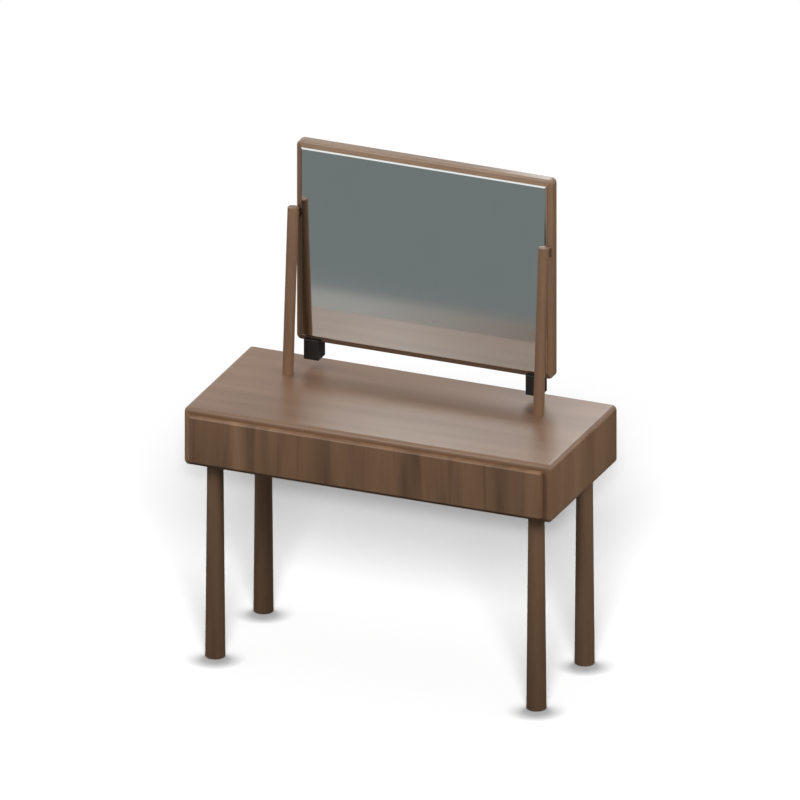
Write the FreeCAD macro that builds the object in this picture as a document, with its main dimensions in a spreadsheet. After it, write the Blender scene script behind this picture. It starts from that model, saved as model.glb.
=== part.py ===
import FreeCAD, Part
import os
import re
import Sketcher

# Vanity table: a walnut case with one wide drawer on four legs, and a mirror that tilts behind two posts.
# X runs to the right, Y to the back and Z up from the floor. Lengths are in millimetres, angles in degrees.

SIZES = {
    # case
    "table_width": 1100,
    "table_height": 760,
    "case_depth": 470,
    "case_height": 172,
    "board": 30,
    "corner_radius": 14,
    "edge_round": 12.5,
    "tongue_width": 24,
    "tongue_thickness": 6,
    "tongue_end": 28,
    "back_thickness": 9,
    "back_inset": 8,
    "back_rebate": 10,
    "back_screw_end": 60,
    "back_screw_grip": 14,
    # legs
    "leg_top_diameter": 45.5,
    "leg_foot_diameter": 56,
    "leg_inset_side": 70,
    "leg_inset_depth": 62,
    "leg_chamfer": 3,
    "leg_bolt": 8,
    "leg_bolt_grip": 40,
    "leg_bolt_reach": 14,
    "plate_side": 64,
    "plate_thickness": 3,
    "plate_screw_inset": 8,
    "plate_screw_length": 16,
    "glide_diameter": 38,
    "glide_thickness": 2,
    # posts
    "post_diameter": 31,
    "post_length": 487,
    "post_lean": 4.5,
    "post_inset": 140,
    "post_chamfer": 2,
    "post_screw": 8,
    "post_screw_grip": 50,
    "post_counterbore": 9,
    "washer_diameter": 24,
    "washer_thickness": 2,
    # drawer
    "front_thickness": 20,
    "front_gap": 1.5,
    "front_side_margin": 25,
    "front_edge_margin": 17.5,
    "front_corner": 5,
    "front_round": 4,
    "pull_length": 320,
    "pull_lip": 8,
    "pull_height": 14,
    "pull_round": 6,
    "box_wall": 15,
    "box_height": 84,
    "box_back_gap": 24.5,
    "box_lift": 10,
    "bottom_thickness": 8,
    "bottom_lift": 9,
    "bottom_groove": 7,
    "dowel_diameter": 8,
    "dowel_length": 32,
    "dowel_inset": 22,
    "front_screw_grip": 13,
    "front_screw_inset": 90,
    "bumper_diameter": 8,
    "bumper_thickness": 1.2,
    "bumper_inset": 50,
    # telescopic slides
    "slide_space": 13,
    "slide_height": 45,
    "slide_back_gap": 28,
    "slide_setback": 5,
    "slide_metal": 1.2,
    "slide_play": 0.4,
    "slide_lip": 2.1,
    "slide_screw_inset": 45,
    "slide_screw_grip": 11,
    # mirror
    "mirror_width": 766,
    "mirror_height": 595.5,
    "mirror_depth": 29,
    "mirror_rise": 72,
    "frame_face": 16.5,
    "frame_corner": 15,
    "frame_round": 5.5,
    "glass_thickness": 6,
    "glass_stand": 10,
    "glass_play": 0.5,
    "bevel_width": 1,
    "bevel_depth": 1,
    "backboard_setback": 5,
    "backboard_thickness": 9,
    "backboard_groove": 4,
    "key_width": 10,
    "key_thickness": 2,
    "key_length": 11,
    "key_inset": 7,
    "key_setback": 16,
    # pivots
    "pivot_drop": 32,
    "pivot_gap": 29.9,
    "pivot_pin": 5,
    "pivot_running": 0.05,
    "eye_radius": 5.5,
    "eye_grip": 22,
    "eye_shoulder": 0.25,
    "eye_clearance": 1,
    "clevis_plate": 3,
    "clevis_height": 26,
    "clevis_margin": 5.5,
    "clevis_ear": 2.4,
    "friction_washer": 0.5,
    "friction_play": 0.05,
    "friction_rim": 1,
    "pivot_screw_inset": 4.2,
    "pivot_screw_length": 10,
    # shoes under the mirror
    "shoe_width": 45,
    "shoe_inset": 29,
    "shoe_drop": 49,
    "shoe_lip": 18,
    "shoe_lip_height": 10,
    "shoe_chamfer": 1.5,
    "shoe_screw": 5,
    "shoe_screw_spacing": 22,
    "shoe_screw_setback": 14.5,
    "shoe_screw_grip": 8,
    "shoe_counterbore": 8,
    # fasteners and fits
    "wood_screw": 4,
    "small_screw": 3,
    "screw_head_depth": 0.6,
    "fit": 0.05,
    "play": 0.5,
    "overcut": 20,
}

# Places worked out from the sizes.
PLACES = {
    "half_width": "table_width / 2",
    "half_inside": "half_width - board",
    "case_floor": "table_height - case_height",
    "case_middle": "table_height - case_height / 2",
    "case_back": "(case_depth + front_gap + front_thickness) / 2",
    "case_front": "case_back - case_depth",
    "inside_floor": "case_floor + board",
    "inside_roof": "table_height - board",
    "back_front": "case_back - back_inset - back_thickness",
    "plate_screw_reach": "plate_side / 2 - plate_screw_inset",
    "post_x": "mirror_width / 2 - frame_face / 2",
    "post_y": "case_back - post_inset",
    "post_seat": "post_counterbore - board / cos(post_lean)",
    "front_back": "case_front - front_gap",
    "front_front": "front_back - front_thickness",
    "front_low": "case_floor + front_edge_margin",
    "front_high": "table_height - front_edge_margin",
    "box_outside": "half_inside - slide_space",
    "box_inside": "box_outside - box_wall",
    "box_low": "inside_floor + box_lift",
    "box_high": "box_low + box_height",
    "box_end": "back_front - box_back_gap",
    "bottom_low": "box_low + bottom_lift",
    "screw_head": "small_screw * screw_head_depth",
    "slide_middle": "box_low + box_height / 2",
    "slide_front": "case_front + slide_setback",
    "slide_end": "back_front - slide_back_gap",
    "slide_web": "slide_metal + screw_head + slide_play",
    "slide_hook": "slide_web + slide_metal + slide_play",
    "slide_middle_lip": "slide_hook + slide_metal + slide_play",
    "slide_case_lip": "slide_middle_lip + slide_metal + slide_play",
    "slide_top": "slide_height / 2",
    "slide_middle_top": "slide_top - slide_metal - slide_play",
    "slide_hook_top": "slide_middle_top - slide_metal - slide_play",
    "slide_leg_top": "slide_hook_top - slide_lip",
    "pivot_height": "post_length * cos(post_lean) - pivot_drop",
    "pivot_z": "table_height + pivot_height",
    "post_back": "post_y + (pivot_height) * tan(post_lean) + post_diameter / 2 / cos(post_lean)",
    "pivot_reach": "pivot_gap - clevis_plate - eye_clearance - eye_radius",
    "pivot_y": "post_back + pivot_reach",
    "mirror_front": "post_back + pivot_gap",
    "mirror_back": "mirror_front + mirror_depth",
    "mirror_low": "table_height + mirror_rise",
    "mirror_middle": "mirror_low + mirror_height / 2",
    "half_mirror": "mirror_width / 2",
    "half_opening": "half_mirror - frame_face",
    "half_rise": "mirror_height / 2 - frame_face",
    "glass_front": "mirror_front - glass_stand",
    "glass_back": "glass_front + glass_thickness",
    "half_glass": "half_opening - glass_play",
    "half_glass_rise": "half_rise - glass_play",
    "backboard_front": "mirror_front + backboard_setback",
    "clevis_width": "frame_face - clevis_margin",
    "washer_room": "friction_washer + 2 * friction_play",
    "washer_bore": "pivot_pin / 2 + friction_rim",
    "eye_width": "clevis_width - 2 * clevis_ear - 2 * washer_room",
    "stem_radius": "eye_width / 2 - eye_shoulder",
    "shoe_front": "mirror_front - shoe_lip",
    "shoe_low": "mirror_low - shoe_drop",
    "shoe_outside": "half_mirror - shoe_inset",
    "shoe_middle": "shoe_outside - shoe_width / 2",
}

SIDES = {"left": "-1", "right": "1"}
AXES = "XYZ"
HALF_TURN = 180
LEG_FLAT_COUNT = 32
DISC_FLAT_COUNT = 12
DOWEL_FLAT_COUNT = 8
SCREW_FLAT_COUNT = 6
TINY = 0.001

doc = FreeCAD.newDocument("vanity_table")
sheet = doc.addObject("Spreadsheet::Sheet", "Sizes")
for row, (alias, size) in enumerate(SIZES.items(), 1):
    sheet.set(f"A{row}", str(size))
    sheet.setAlias(f"A{row}", alias)
doc.recompute()

nodes = []


def formula(text):
    """Writes a size or a place, given in plain words, as an expression on the sheet."""
    def spell(match):
        word = match.group(0)
        if word in SIZES:
            return f"Sizes.{word}"
        if word in PLACES:
            return f"({formula(PLACES[word])})"
        return word
    return re.sub("[a-z_]+", spell, text)


def number(text):
    """Gives the value that a size or a place has now."""
    return float(sheet.evalExpression(formula(text)))


def keep(item):
    """Counts an object among the sub-parts, under its own label."""
    nodes.append(item)
    return item


def bind(item, bindings):
    """Ties properties of an object to the sheet."""
    for name, text in bindings.items():
        item.setExpression(name, formula(text))
    return item


def turn(axis, angle):
    """A turn about one of the three axes."""
    return FreeCAD.Rotation(FreeCAD.Vector(*(name == axis for name in AXES)), angle)


# Directions that fasteners point in, with the turn that brings +Z there.
TOWARD = {
    "right": (("1", "0", "0"), turn("Y", 90)),
    "left": (("-1", "0", "0"), turn("Y", -90)),
    "back": (("0", "1", "0"), turn("X", -90)),
    "front": (("0", "-1", "0"), turn("X", 90)),
    "up": (("0", "0", "1"), turn("X", 0)),
    "lean": (("0", "sin(post_lean)", "cos(post_lean)"), turn("X", 1).inverted()),
}


def put(item, spot, toward="up"):
    """Places an object at a spot of the frame, with its Z axis pointing in a named direction."""
    item.Placement = FreeCAD.Placement(FreeCAD.Vector(), TOWARD[toward][1])
    for axis, text in zip("xyz", spot):
        item.setExpression(f"Placement.Base.{axis}", formula(text))
    if toward == "lean":
        item.setExpression("Placement.Rotation.Angle", formula("post_lean"))
    return item


def shifted(spot, toward, distance):
    """Moves a spot along a named direction."""
    return tuple(f"{text} + {step} * ({distance})" for text, step in zip(spot, TOWARD[toward][0]))


def block(name, x, y, z):
    """A box between two planes on each axis."""
    item = doc.addObject("Part::Box", name)
    spans = zip(("Length", "Width", "Height"), (x, y, z))
    bind(item, {side: f"{high} - ({low})" for side, (low, high) in spans})
    return put(item, (x[0], y[0], z[0]))


def rod(name, radius, length, spot, toward="up"):
    """A cylinder that starts at a spot."""
    item = bind(doc.addObject("Part::Cylinder", name), {"Radius": radius, "Height": length})
    return put(item, spot, toward)


def stud(name, flats, radius, length, spot, toward):
    """A rod with a few flat sides that starts at a spot, for the small pieces that repeat."""
    item = bind(doc.addObject("Part::Prism", name), {"Circumradius": radius, "Height": length})
    item.Polygon = flats
    return put(item, spot, toward)


def gather(name, items):
    """A group of separate solids."""
    item = doc.addObject("Part::Compound", name)
    item.Links = items
    return item


def join(name, items):
    """One solid made of several."""
    item = doc.addObject("Part::MultiFuse", name)
    item.Shapes = items
    item.Refine = True
    return item


def cut(name, base, tools):
    """A solid less some tools that stay clear of each other."""
    item = doc.addObject("Part::Cut", name)
    item.Base = base
    item.Tool = tools[0] if len(tools) == 1 else gather(f"{name}_tools", tools)
    return item


def common(name, base, tool):
    """What two solids share."""
    item = doc.addObject("Part::Common", name)
    item.Base = base
    item.Tool = tool
    return item


def outline(body, plane, points):
    """A closed sketch of straight lines whose corners are bound to the sheet."""
    sketch = body.newObject("Sketcher::SketchObject", "outline")
    origin = next(item for item in body.Origin.OriginFeatures if item.Role == f"{plane}_Plane")
    sketch.AttachmentSupport = (origin, [""])
    sketch.MapMode = "FlatFace"
    corners = [FreeCAD.Vector(number(across), number(up), 0) for across, up in points]
    count = len(corners)
    for start in range(count):
        sketch.addGeometry(Part.LineSegment(corners[start], corners[(start + 1) % count]), False)
    for start in range(count):
        sketch.addConstraint(Sketcher.Constraint("Coincident", start, 2, (start + 1) % count, 1))
    for start, (across, up) in enumerate(points):
        for kind, text in (("DistanceX", across), ("DistanceY", up)):
            index = sketch.addConstraint(Sketcher.Constraint(kind, start, 1, number(text)))
            sketch.setExpression(f"Constraints[{index}]", formula(text))
    return sketch


def extrude(name, plane, points, low, high):
    """A profile drawn in one plane and padded between two places on the axis square to it."""
    body = doc.addObject("PartDesign::Body", name)
    pad = body.newObject("PartDesign::Pad", "pad")
    pad.Profile = outline(body, plane, points)
    pad.Reversed = plane == "XZ"
    bind(pad, {"Length": f"{high} - ({low})"})
    return put(body, tuple("0" if axis in plane else low for axis in AXES))


def turned(name, points, spot, toward="up"):
    """A half profile of radius and height, revolved about its axis."""
    body = doc.addObject("PartDesign::Body", name)
    sketch = outline(body, "XZ", points)
    spin = body.newObject("PartDesign::Revolution", "turning")
    spin.Profile = sketch
    spin.ReferenceAxis = (sketch, ["V_Axis"])
    spin.Angle = 360
    return put(body, spot, toward)


def dress(body, kind, bindings, chosen):
    """Rounds or chamfers the chosen edges of a body."""
    doc.recompute()
    base = body.Tip
    picked = [f"Edge{index}" for index, edge in enumerate(base.Shape.Edges, 1) if chosen(edge)]
    dressing = body.newObject(f"PartDesign::{kind}", kind.lower())
    dressing.Base = (base, picked)
    bind(dressing, bindings)
    doc.recompute()


def round_edges(body, radius, chosen):
    """Rounds the chosen edges of a body."""
    dress(body, "Fillet", {"Radius": radius}, chosen)


def chamfer_edges(body, size, chosen):
    """Chamfers the chosen edges of a body."""
    dress(body, "Chamfer", {"Size": size}, chosen)


def along(axis):
    """Picks the edges that run straight along an axis."""
    others = [name for name in AXES if name != axis]
    return lambda edge: all(getattr(edge.BoundBox, f"{name}Length") < TINY for name in others)


def level(axis, *places):
    """Picks the edges that lie in planes square to an axis, at all places or only at the ones given."""
    heights = [number(text) for text in places]

    def chosen(edge):
        low = getattr(edge.BoundBox, f"{axis}Min")
        flat = getattr(edge.BoundBox, f"{axis}Length") < TINY
        return flat and (not heights or any(abs(low - height) < TINY for height in heights))
    return chosen


def rectangle(left, right, low, high):
    """The corners of an upright rectangle."""
    return [(left, low), (right, low), (right, high), (left, high)]


def screw(name, spot, toward, width, length, fit="0"):
    """A screw whose head bears on a spot from outside."""
    depth = f"{width} * screw_head_depth"
    start = shifted(spot, toward, f"-({depth})")
    stem = stud(f"{name}_stem", SCREW_FLAT_COUNT, f"{width} / 2 + {fit}", f"{length} + {fit}", spot, toward)
    head = stud(f"{name}_head", SCREW_FLAT_COUNT, f"{width} + {fit}", depth, start, toward)
    return join(name, [stem, head])


def washer(name, radius, bore, thickness, spot, toward):
    """A flat ring that starts at a spot."""
    disc = stud(f"{name}_disc", DISC_FLAT_COUNT, radius, thickness, spot, toward)
    return cut(name, disc, [stud(f"{name}_bore", DISC_FLAT_COUNT, bore, thickness, spot, toward)])


def taper(name, sections, spot):
    """A turned leg through circles, given as radius and height."""
    rings = []
    for index, (radius, height) in enumerate(sections):
        item = bind(doc.addObject("Part::RegularPolygon", f"{name}_ring_{index}"), {"Circumradius": radius})
        item.Polygon = LEG_FLAT_COUNT
        rings.append(put(item, (spot[0], spot[1], height)))
    loft = doc.addObject("Part::Loft", name)
    loft.Sections = rings
    loft.Solid = True
    loft.Ruled = True
    return loft


def screws(name, spots, toward, width, length):
    """A group of like screws; gives the holes that they need, in the same order."""
    solids = [screw(f"{name}_{index}", spot, toward, width, length)
              for index, spot in enumerate(spots)]
    keep(gather(name, solids))
    return [screw(f"{name}_hole_{index}", spot, toward, width, length, "fit")
            for index, spot in enumerate(spots)]


def mitre_shares(name, half_across, middle, half_up, low, high):
    """Four wedges that meet on the mitre planes of a rectangular frame."""
    across = f"({half_across} + overcut)"
    top = f"{middle} + {half_up} + overcut"
    bottom = f"{middle} - {half_up} - overcut"
    inner = f"({half_across} - {half_up})"
    outlines = {
        "top": [(f"-{across}", top), (across, top), (inner, middle), (f"-{inner}", middle)],
        "bottom": [(f"-{across}", bottom), (across, bottom), (inner, middle), (f"-{inner}", middle)],
        "left": [(f"-{across}", top), (f"-{across}", bottom), (f"-{inner}", middle)],
        "right": [(across, top), (across, bottom), (inner, middle)],
    }
    return {side: extrude(f"{name}_{side}_share", "XZ", points, f"{low} - overcut", f"{high} + overcut")
            for side, points in outlines.items()}


def mitre_tongues(name, across, middle, up, width, thickness, low, high):
    """Strips that cross the four mitres of a rectangular frame, square to each mitre face."""
    strips = []
    for side, hand in SIDES.items():
        for end, rise in (("low", "-1"), ("high", "1")):
            points = []
            for reach, step in ((-1, -1), (1, -1), (1, 1), (-1, 1)):
                outward = f"({reach} * {width} + {step} * {thickness}) * sqrt(2) / 4"
                upward = f"({-reach} * {width} + {step} * {thickness}) * sqrt(2) / 4"
                points.append((f"{hand} * ({across} + {outward})", f"{middle} + {rise} * ({up} + {upward})"))
            strips.append(extrude(f"{name}_{side}_{end}", "XZ", points, low, high))
    return strips


def leg_set():
    """Four tapered legs on plates let into the bottom board; gives the seats to cut in that board."""
    plates, bolts, glides, seats, corners = [], [], [], [], []
    sections = [
        ("leg_foot_diameter / 2 - leg_chamfer", "glide_thickness"),
        ("leg_foot_diameter / 2", "glide_thickness + leg_chamfer"),
        ("leg_top_diameter / 2", "case_floor"),
    ]
    reach = "leg_bolt_grip + plate_thickness + leg_bolt_reach"
    for end, y in (("front", "case_front + leg_inset_depth"), ("back", "case_back - leg_inset_depth")):
        for side, hand in SIDES.items():
            name = f"leg_{end}_{side}"
            x = f"{hand} * (half_width - leg_inset_side)"
            glides.append(stud(f"{name}_glide", DISC_FLAT_COUNT, "glide_diameter / 2", "glide_thickness",
                               (x, y, "0"), "up"))
            start = (x, y, "case_floor - leg_bolt_grip")
            bolts.append(stud(f"{name}_bolt", SCREW_FLAT_COUNT, "leg_bolt / 2", reach, start, "up"))
            hole = stud(f"{name}_bolt_hole", SCREW_FLAT_COUNT, "leg_bolt / 2 + fit", f"{reach} + fit",
                        start, "up")
            keep(cut(name, taper(f"{name}_blank", sections, (x, y)), [hole]))
            corners.append((name, x, y, hole))
    spots = [(f"{x} + {a} * plate_screw_reach", f"{y} + {b} * plate_screw_reach", "case_floor")
             for _, x, y, _ in corners for a in (-1, 1) for b in (-1, 1)]
    holes = screws("leg_plate_screws", spots, "up", "wood_screw", "plate_screw_length")
    each = len(holes) // len(corners)
    for index, (name, x, y, bolt_hole) in enumerate(corners):
        own_holes = holes[index * each:(index + 1) * each]
        height = ("case_floor", "case_floor + plate_thickness")
        sides = [(f"{place} - plate_side / 2", f"{place} + plate_side / 2") for place in (x, y)]
        blank = block(f"{name}_plate_blank", *sides, height)
        plates.append(cut(f"{name}_plate", blank, [bolt_hole, *own_holes]))
        loose = [(f"{low} - fit", f"{high} + fit") for low, high in sides]
        pocket = block(f"{name}_pocket", *loose, ("case_floor - overcut", height[1]))
        seats.append(join(f"{name}_seat", [pocket, bolt_hole, *own_holes]))
    keep(gather("leg_plates", plates))
    keep(gather("leg_bolts", bolts))
    keep(gather("leg_glides", glides))
    return seats


def post_set():
    """Two leaning posts screwed on from below; gives the holes to cut in the top board."""
    profile = [
        ("0", "post_length"), ("post_diameter / 2 - post_chamfer", "post_length"),
        ("post_diameter / 2", "post_length - post_chamfer"), ("post_diameter / 2", "-overcut"),
        ("post_screw / 2 + fit", "-overcut"), ("post_screw / 2 + fit", "post_screw_grip + fit"),
        ("0", "post_screw_grip + fit"),
    ]
    foot = block("post_foot", ("-half_width", "half_width"), ("case_front", "case_back"),
                 ("table_height - 2 * overcut", "table_height"))
    centres = [(f"{hand} * post_x", "post_y", "table_height") for hand in SIDES.values()]
    bearing = "post_seat - washer_thickness"
    heads = [shifted(centre, "lean", bearing) for centre in centres]
    length = f"post_screw_grip - ({bearing})"
    screw_holes = screws("post_screws", heads, "lean", "post_screw", length)
    washers, holes = [], []
    for side, centre, head, screw_hole in zip(SIDES, centres, heads, screw_holes):
        blank = turned(f"post_{side}_blank", profile, centre, "lean")
        socket = stud(f"post_{side}_socket", SCREW_FLAT_COUNT, "stem_radius + fit",
                      "pivot_reach + eye_grip + fit", (centre[0], "pivot_y", "pivot_z"), "front")
        keep(cut(f"post_{side}", blank, [foot, socket]))
        washers.append(washer(f"post_{side}_washer", "washer_diameter / 2", "post_screw / 2 + fit",
                              "washer_thickness", head, "lean"))
        start = shifted(centre, "lean", "post_seat - post_counterbore - overcut")
        bore = stud(f"post_{side}_counterbore", DISC_FLAT_COUNT, "washer_diameter / 2 + fit",
                    "post_counterbore + overcut", start, "lean")
        holes.append(join(f"post_{side}_hole", [bore, screw_hole]))
    keep(gather("post_washers", washers))
    return holes


def back_panel():
    """The back panel in its rebate; gives the screw holes, which also run into the boards."""
    reach = "half_inside + back_rebate"
    y = ("back_front", "back_front + back_thickness")
    panel = block("back_blank", (f"-({reach} - play)", f"{reach} - play"), y,
                  ("inside_floor - back_rebate + play", "inside_roof + back_rebate - play"))
    far = "(half_inside - back_screw_end)"
    spots = [(f"{share} * {far}", y[1], height)
             for height in ("inside_floor - back_rebate / 2", "inside_roof + back_rebate / 2")
             for share in (-1, 0, 1)]
    spots += [(f"{hand} * (half_inside + back_rebate / 2)", y[1], "case_middle") for hand in SIDES.values()]
    length = "back_thickness + back_screw_grip"
    holes = screws("back_screws", spots, "front", "small_screw", length)
    keep(cut("case_back", panel, holes))
    return holes


def case_boards(leg_seats, post_holes, back_holes, slide_holes):
    """Top, bottom and sides, cut at the mitres from one rounded box."""
    blank = extrude("case_blank", "XZ", rectangle("-half_width", "half_width", "case_floor", "table_height"),
                    "case_front", "case_back")
    round_edges(blank, "corner_radius", along("Y"))
    round_edges(blank, "edge_round", level("Y", "0"))
    hollow = block("case_hollow", ("-half_inside", "half_inside"),
                   ("case_front - overcut", "case_back + overcut"), ("inside_floor", "inside_roof"))
    rebate = block("case_rebate", ("-half_inside - back_rebate", "half_inside + back_rebate"),
                   ("back_front", "case_back + overcut"),
                   ("inside_floor - back_rebate", "inside_roof + back_rebate"))
    seat = ("half_width - board / 2", "case_middle", "case_height / 2 - board / 2")
    span = ("case_front + tongue_end", "back_front - tongue_end")
    tongues = mitre_tongues("tongue", *seat, "tongue_width", "tongue_thickness", *span)
    keep(gather("case_tongues", tongues))
    slots = mitre_tongues("tongue_slot", *seat, "(tongue_width + 2 * fit)", "(tongue_thickness + 2 * fit)",
                          f"{span[0]} - fit", f"{span[1]} + fit")
    shell = cut("case_shell", cut("case_tube", blank, [join("case_room", [hollow, rebate])]), slots)
    shares = mitre_shares("case", "half_width", "case_middle", "case_height / 2", "case_front", "case_back")
    row = (len(back_holes) - len(SIDES)) // 2
    tools = {
        "bottom": leg_seats + back_holes[:row],
        "top": post_holes + back_holes[row:2 * row],
        "left": slide_holes["left"] + back_holes[2 * row:2 * row + 1],
        "right": slide_holes["right"] + back_holes[2 * row + 1:],
    }
    for side, share in shares.items():
        name = f"case_side_{side}" if side in SIDES else f"case_{side}"
        keep(cut(name, common(f"{name}_blank", shell, share), tools[side]))


def slide_profile(hand, points):
    """Places a slide's section, given as distance from the case's side and height, on one side."""
    return [(f"{hand} * (half_inside - ({inward}))", f"slide_middle + {rise}") for inward, rise in points]


def both_ways(points):
    """Adds the mirror image of the upper half of a section, so that the outline closes."""
    lower = [(inward, f"-1 * ({rise})") for inward, rise in reversed(points)]
    return points + lower


def drawer_slides():
    """Telescopic slides with three nested members; gives the screw holes in the case and drawer sides."""
    case_section = both_ways([
        ("slide_metal", "slide_top - slide_metal"), ("slide_case_lip", "slide_top - slide_metal"),
        ("slide_case_lip", "slide_hook_top"), ("slide_case_lip + slide_metal", "slide_hook_top"),
        ("slide_case_lip + slide_metal", "slide_top"), ("0", "slide_top"),
    ])
    middle_inner = "slide_middle_top - slide_metal"
    web_far = "slide_web + slide_metal"
    lip_far = "slide_middle_lip + slide_metal"
    flange_near = "slide_metal + slide_play"
    middle_right = [
        (web_far, middle_inner), ("slide_middle_lip", middle_inner),
        ("slide_middle_lip", "slide_leg_top + slide_play"), (lip_far, "slide_leg_top + slide_play"),
        (lip_far, "slide_middle_top"), (flange_near, "slide_middle_top"), (flange_near, middle_inner),
        ("slide_web", middle_inner),
    ]
    hook_far = "slide_hook + slide_metal"
    drawer_section = both_ways([
        ("slide_space - slide_metal", "slide_leg_top - slide_metal"),
        ("slide_hook", "slide_leg_top - slide_metal"), ("slide_hook", "slide_hook_top"),
        (hook_far, "slide_hook_top"), (hook_far, "slide_leg_top"), ("slide_space", "slide_leg_top"),
    ])
    span = ("slide_front", "slide_end")
    ends = ("slide_front + slide_screw_inset", "slide_end - slide_screw_inset")
    holes = {}
    facing = {"left": ("left", "right"), "right": ("right", "left")}
    case_spots, drawer_spots = [], []
    for side, hand in SIDES.items():
        sections = {"case": case_section, "middle": both_ways(middle_right), "drawer": drawer_section}
        for member, section in sections.items():
            extrude(f"slide_{member}_{side}_blank", "XZ", slide_profile(hand, section), *span)
        case_spots.append([(f"{hand} * (half_inside - slide_metal)", y, "slide_middle") for y in ends])
        drawer_spots.append([(f"{hand} * (box_outside + slide_metal)", y, "slide_middle") for y in ends])
    length = "slide_metal + slide_screw_grip"
    for member, spots, order in (("case", case_spots, 0), ("drawer", drawer_spots, 1)):
        solids = []
        for side, row in zip(SIDES, spots):
            toward = facing[side][order]
            name = f"slide_{member}_{side}"
            solids += [screw(f"{name}_screw_{index}", spot, toward, "small_screw", length)
                       for index, spot in enumerate(row)]
            holes[member, side] = [
                screw(f"{name}_hole_{index}", spot, toward, "small_screw", length, "fit")
                for index, spot in enumerate(row)]
            keep(cut(name, doc.getObject(f"{name}_blank"), holes[member, side]))
        keep(gather(f"slide_{member}_screws", solids))
    for side in SIDES:
        middle = doc.getObject(f"slide_middle_{side}_blank")
        middle.Label = f"slide_middle_{side}"
        keep(middle)
    return ({side: holes["case", side] for side in SIDES}, {side: holes["drawer", side] for side in SIDES})


def drawer(slide_holes):
    """The drawer box with its bottom in a groove, and the overlay front with a finger groove below."""
    z = ("box_low", "box_high")
    inner_front = "front_back + box_wall"
    inner_end = "box_end - box_wall"
    slot = block("bottom_slot", ("-box_inside - bottom_groove", "box_inside + bottom_groove"),
                 (f"{inner_front} - bottom_groove", f"{inner_end} + bottom_groove"),
                 ("bottom_low - fit", "bottom_low + bottom_thickness + fit"))
    reach = "box_inside + bottom_groove - play"
    keep(block("drawer_bottom", (f"-({reach})", reach),
               (f"{inner_front} - bottom_groove + play", f"{inner_end} + bottom_groove - play"),
               ("bottom_low", "bottom_low + bottom_thickness")))
    dowels = []
    dowel_holes = {"left": [], "right": [], "front": [], "back": []}
    for side, hand in SIDES.items():
        for end, y in (("front", "front_back + box_wall / 2"), ("back", "box_end - box_wall / 2")):
            for index, height in enumerate(("box_high - dowel_inset", "bottom_low + dowel_inset")):
                name = f"dowel_{side}_{end}_{index}"
                near = f"{hand} * (box_inside + box_wall * 2 / 3)"
                inward = "right" if side == "left" else "left"
                spot = (near, y, height)
                dowels.append(stud(name, DOWEL_FLAT_COUNT, "dowel_diameter / 2", "dowel_length",
                                   spot, inward))
                hole = stud(f"{name}_hole", DOWEL_FLAT_COUNT, "dowel_diameter / 2 + fit",
                            "dowel_length + 2 * fit", shifted(spot, inward, "-fit"), inward)
                dowel_holes[side].append(hole)
                dowel_holes[end].append(hole)
    keep(gather("drawer_dowels", dowels))
    for side, hand in SIDES.items():
        x = ("-box_outside", "-box_inside") if side == "left" else ("box_inside", "box_outside")
        blank = block(f"drawer_side_{side}_blank", x, ("front_back", "box_end"), z)
        keep(cut(f"drawer_side_{side}", blank, [slot, *slide_holes[side], *dowel_holes[side]]))
    between = ("-box_inside", "box_inside")
    back_blank = block("drawer_back_blank", between, (inner_end, "box_end"), z)
    keep(cut("drawer_back", back_blank, [slot, *dowel_holes["back"]]))
    spots = [(f"{share} * (box_inside - front_screw_inset)", inner_front, "slide_middle")
             for share in ("-1", "-1 / 3", "1 / 3", "1")]
    holes = screws("drawer_front_screws", spots, "front", "wood_screw", "box_wall + front_screw_grip")
    front_blank = block("drawer_inner_front_blank", between, ("front_back", inner_front), z)
    keep(cut("drawer_inner_front", front_blank, [slot, *holes, *dowel_holes["front"]]))
    edge = "half_width - front_side_margin"
    slab = extrude("drawer_front_slab", "XZ", rectangle(f"-({edge})", edge, "front_low", "front_high"),
                   "front_front", "front_back")
    round_edges(slab, "front_corner", along("Y"))
    round_edges(slab, "front_round", level("Y", "0"))
    pull = extrude("pull", "XZ", rectangle("-pull_length / 2", "pull_length / 2", "front_low - overcut",
                                           "front_low + pull_height"),
                   "front_front + pull_lip", "front_back + overcut")
    roof = number("front_low + pull_height")
    round_edges(pull, "pull_round", lambda edge: level("Y", "0")(edge) and edge.BoundBox.ZMax > roof - TINY)
    keep(cut("drawer_front", slab, [pull, *holes]))
    rest = ("(front_low + inside_floor) / 2", "(front_high + inside_roof) / 2")
    keep(gather("drawer_bumpers", [
        stud(f"bumper_{side}_{index}", DISC_FLAT_COUNT, "bumper_diameter / 2", "bumper_thickness",
             (f"{hand} * (half_inside - bumper_inset)", "front_back", height), "back")
        for side, hand in SIDES.items() for index, height in enumerate(rest)]))


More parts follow.
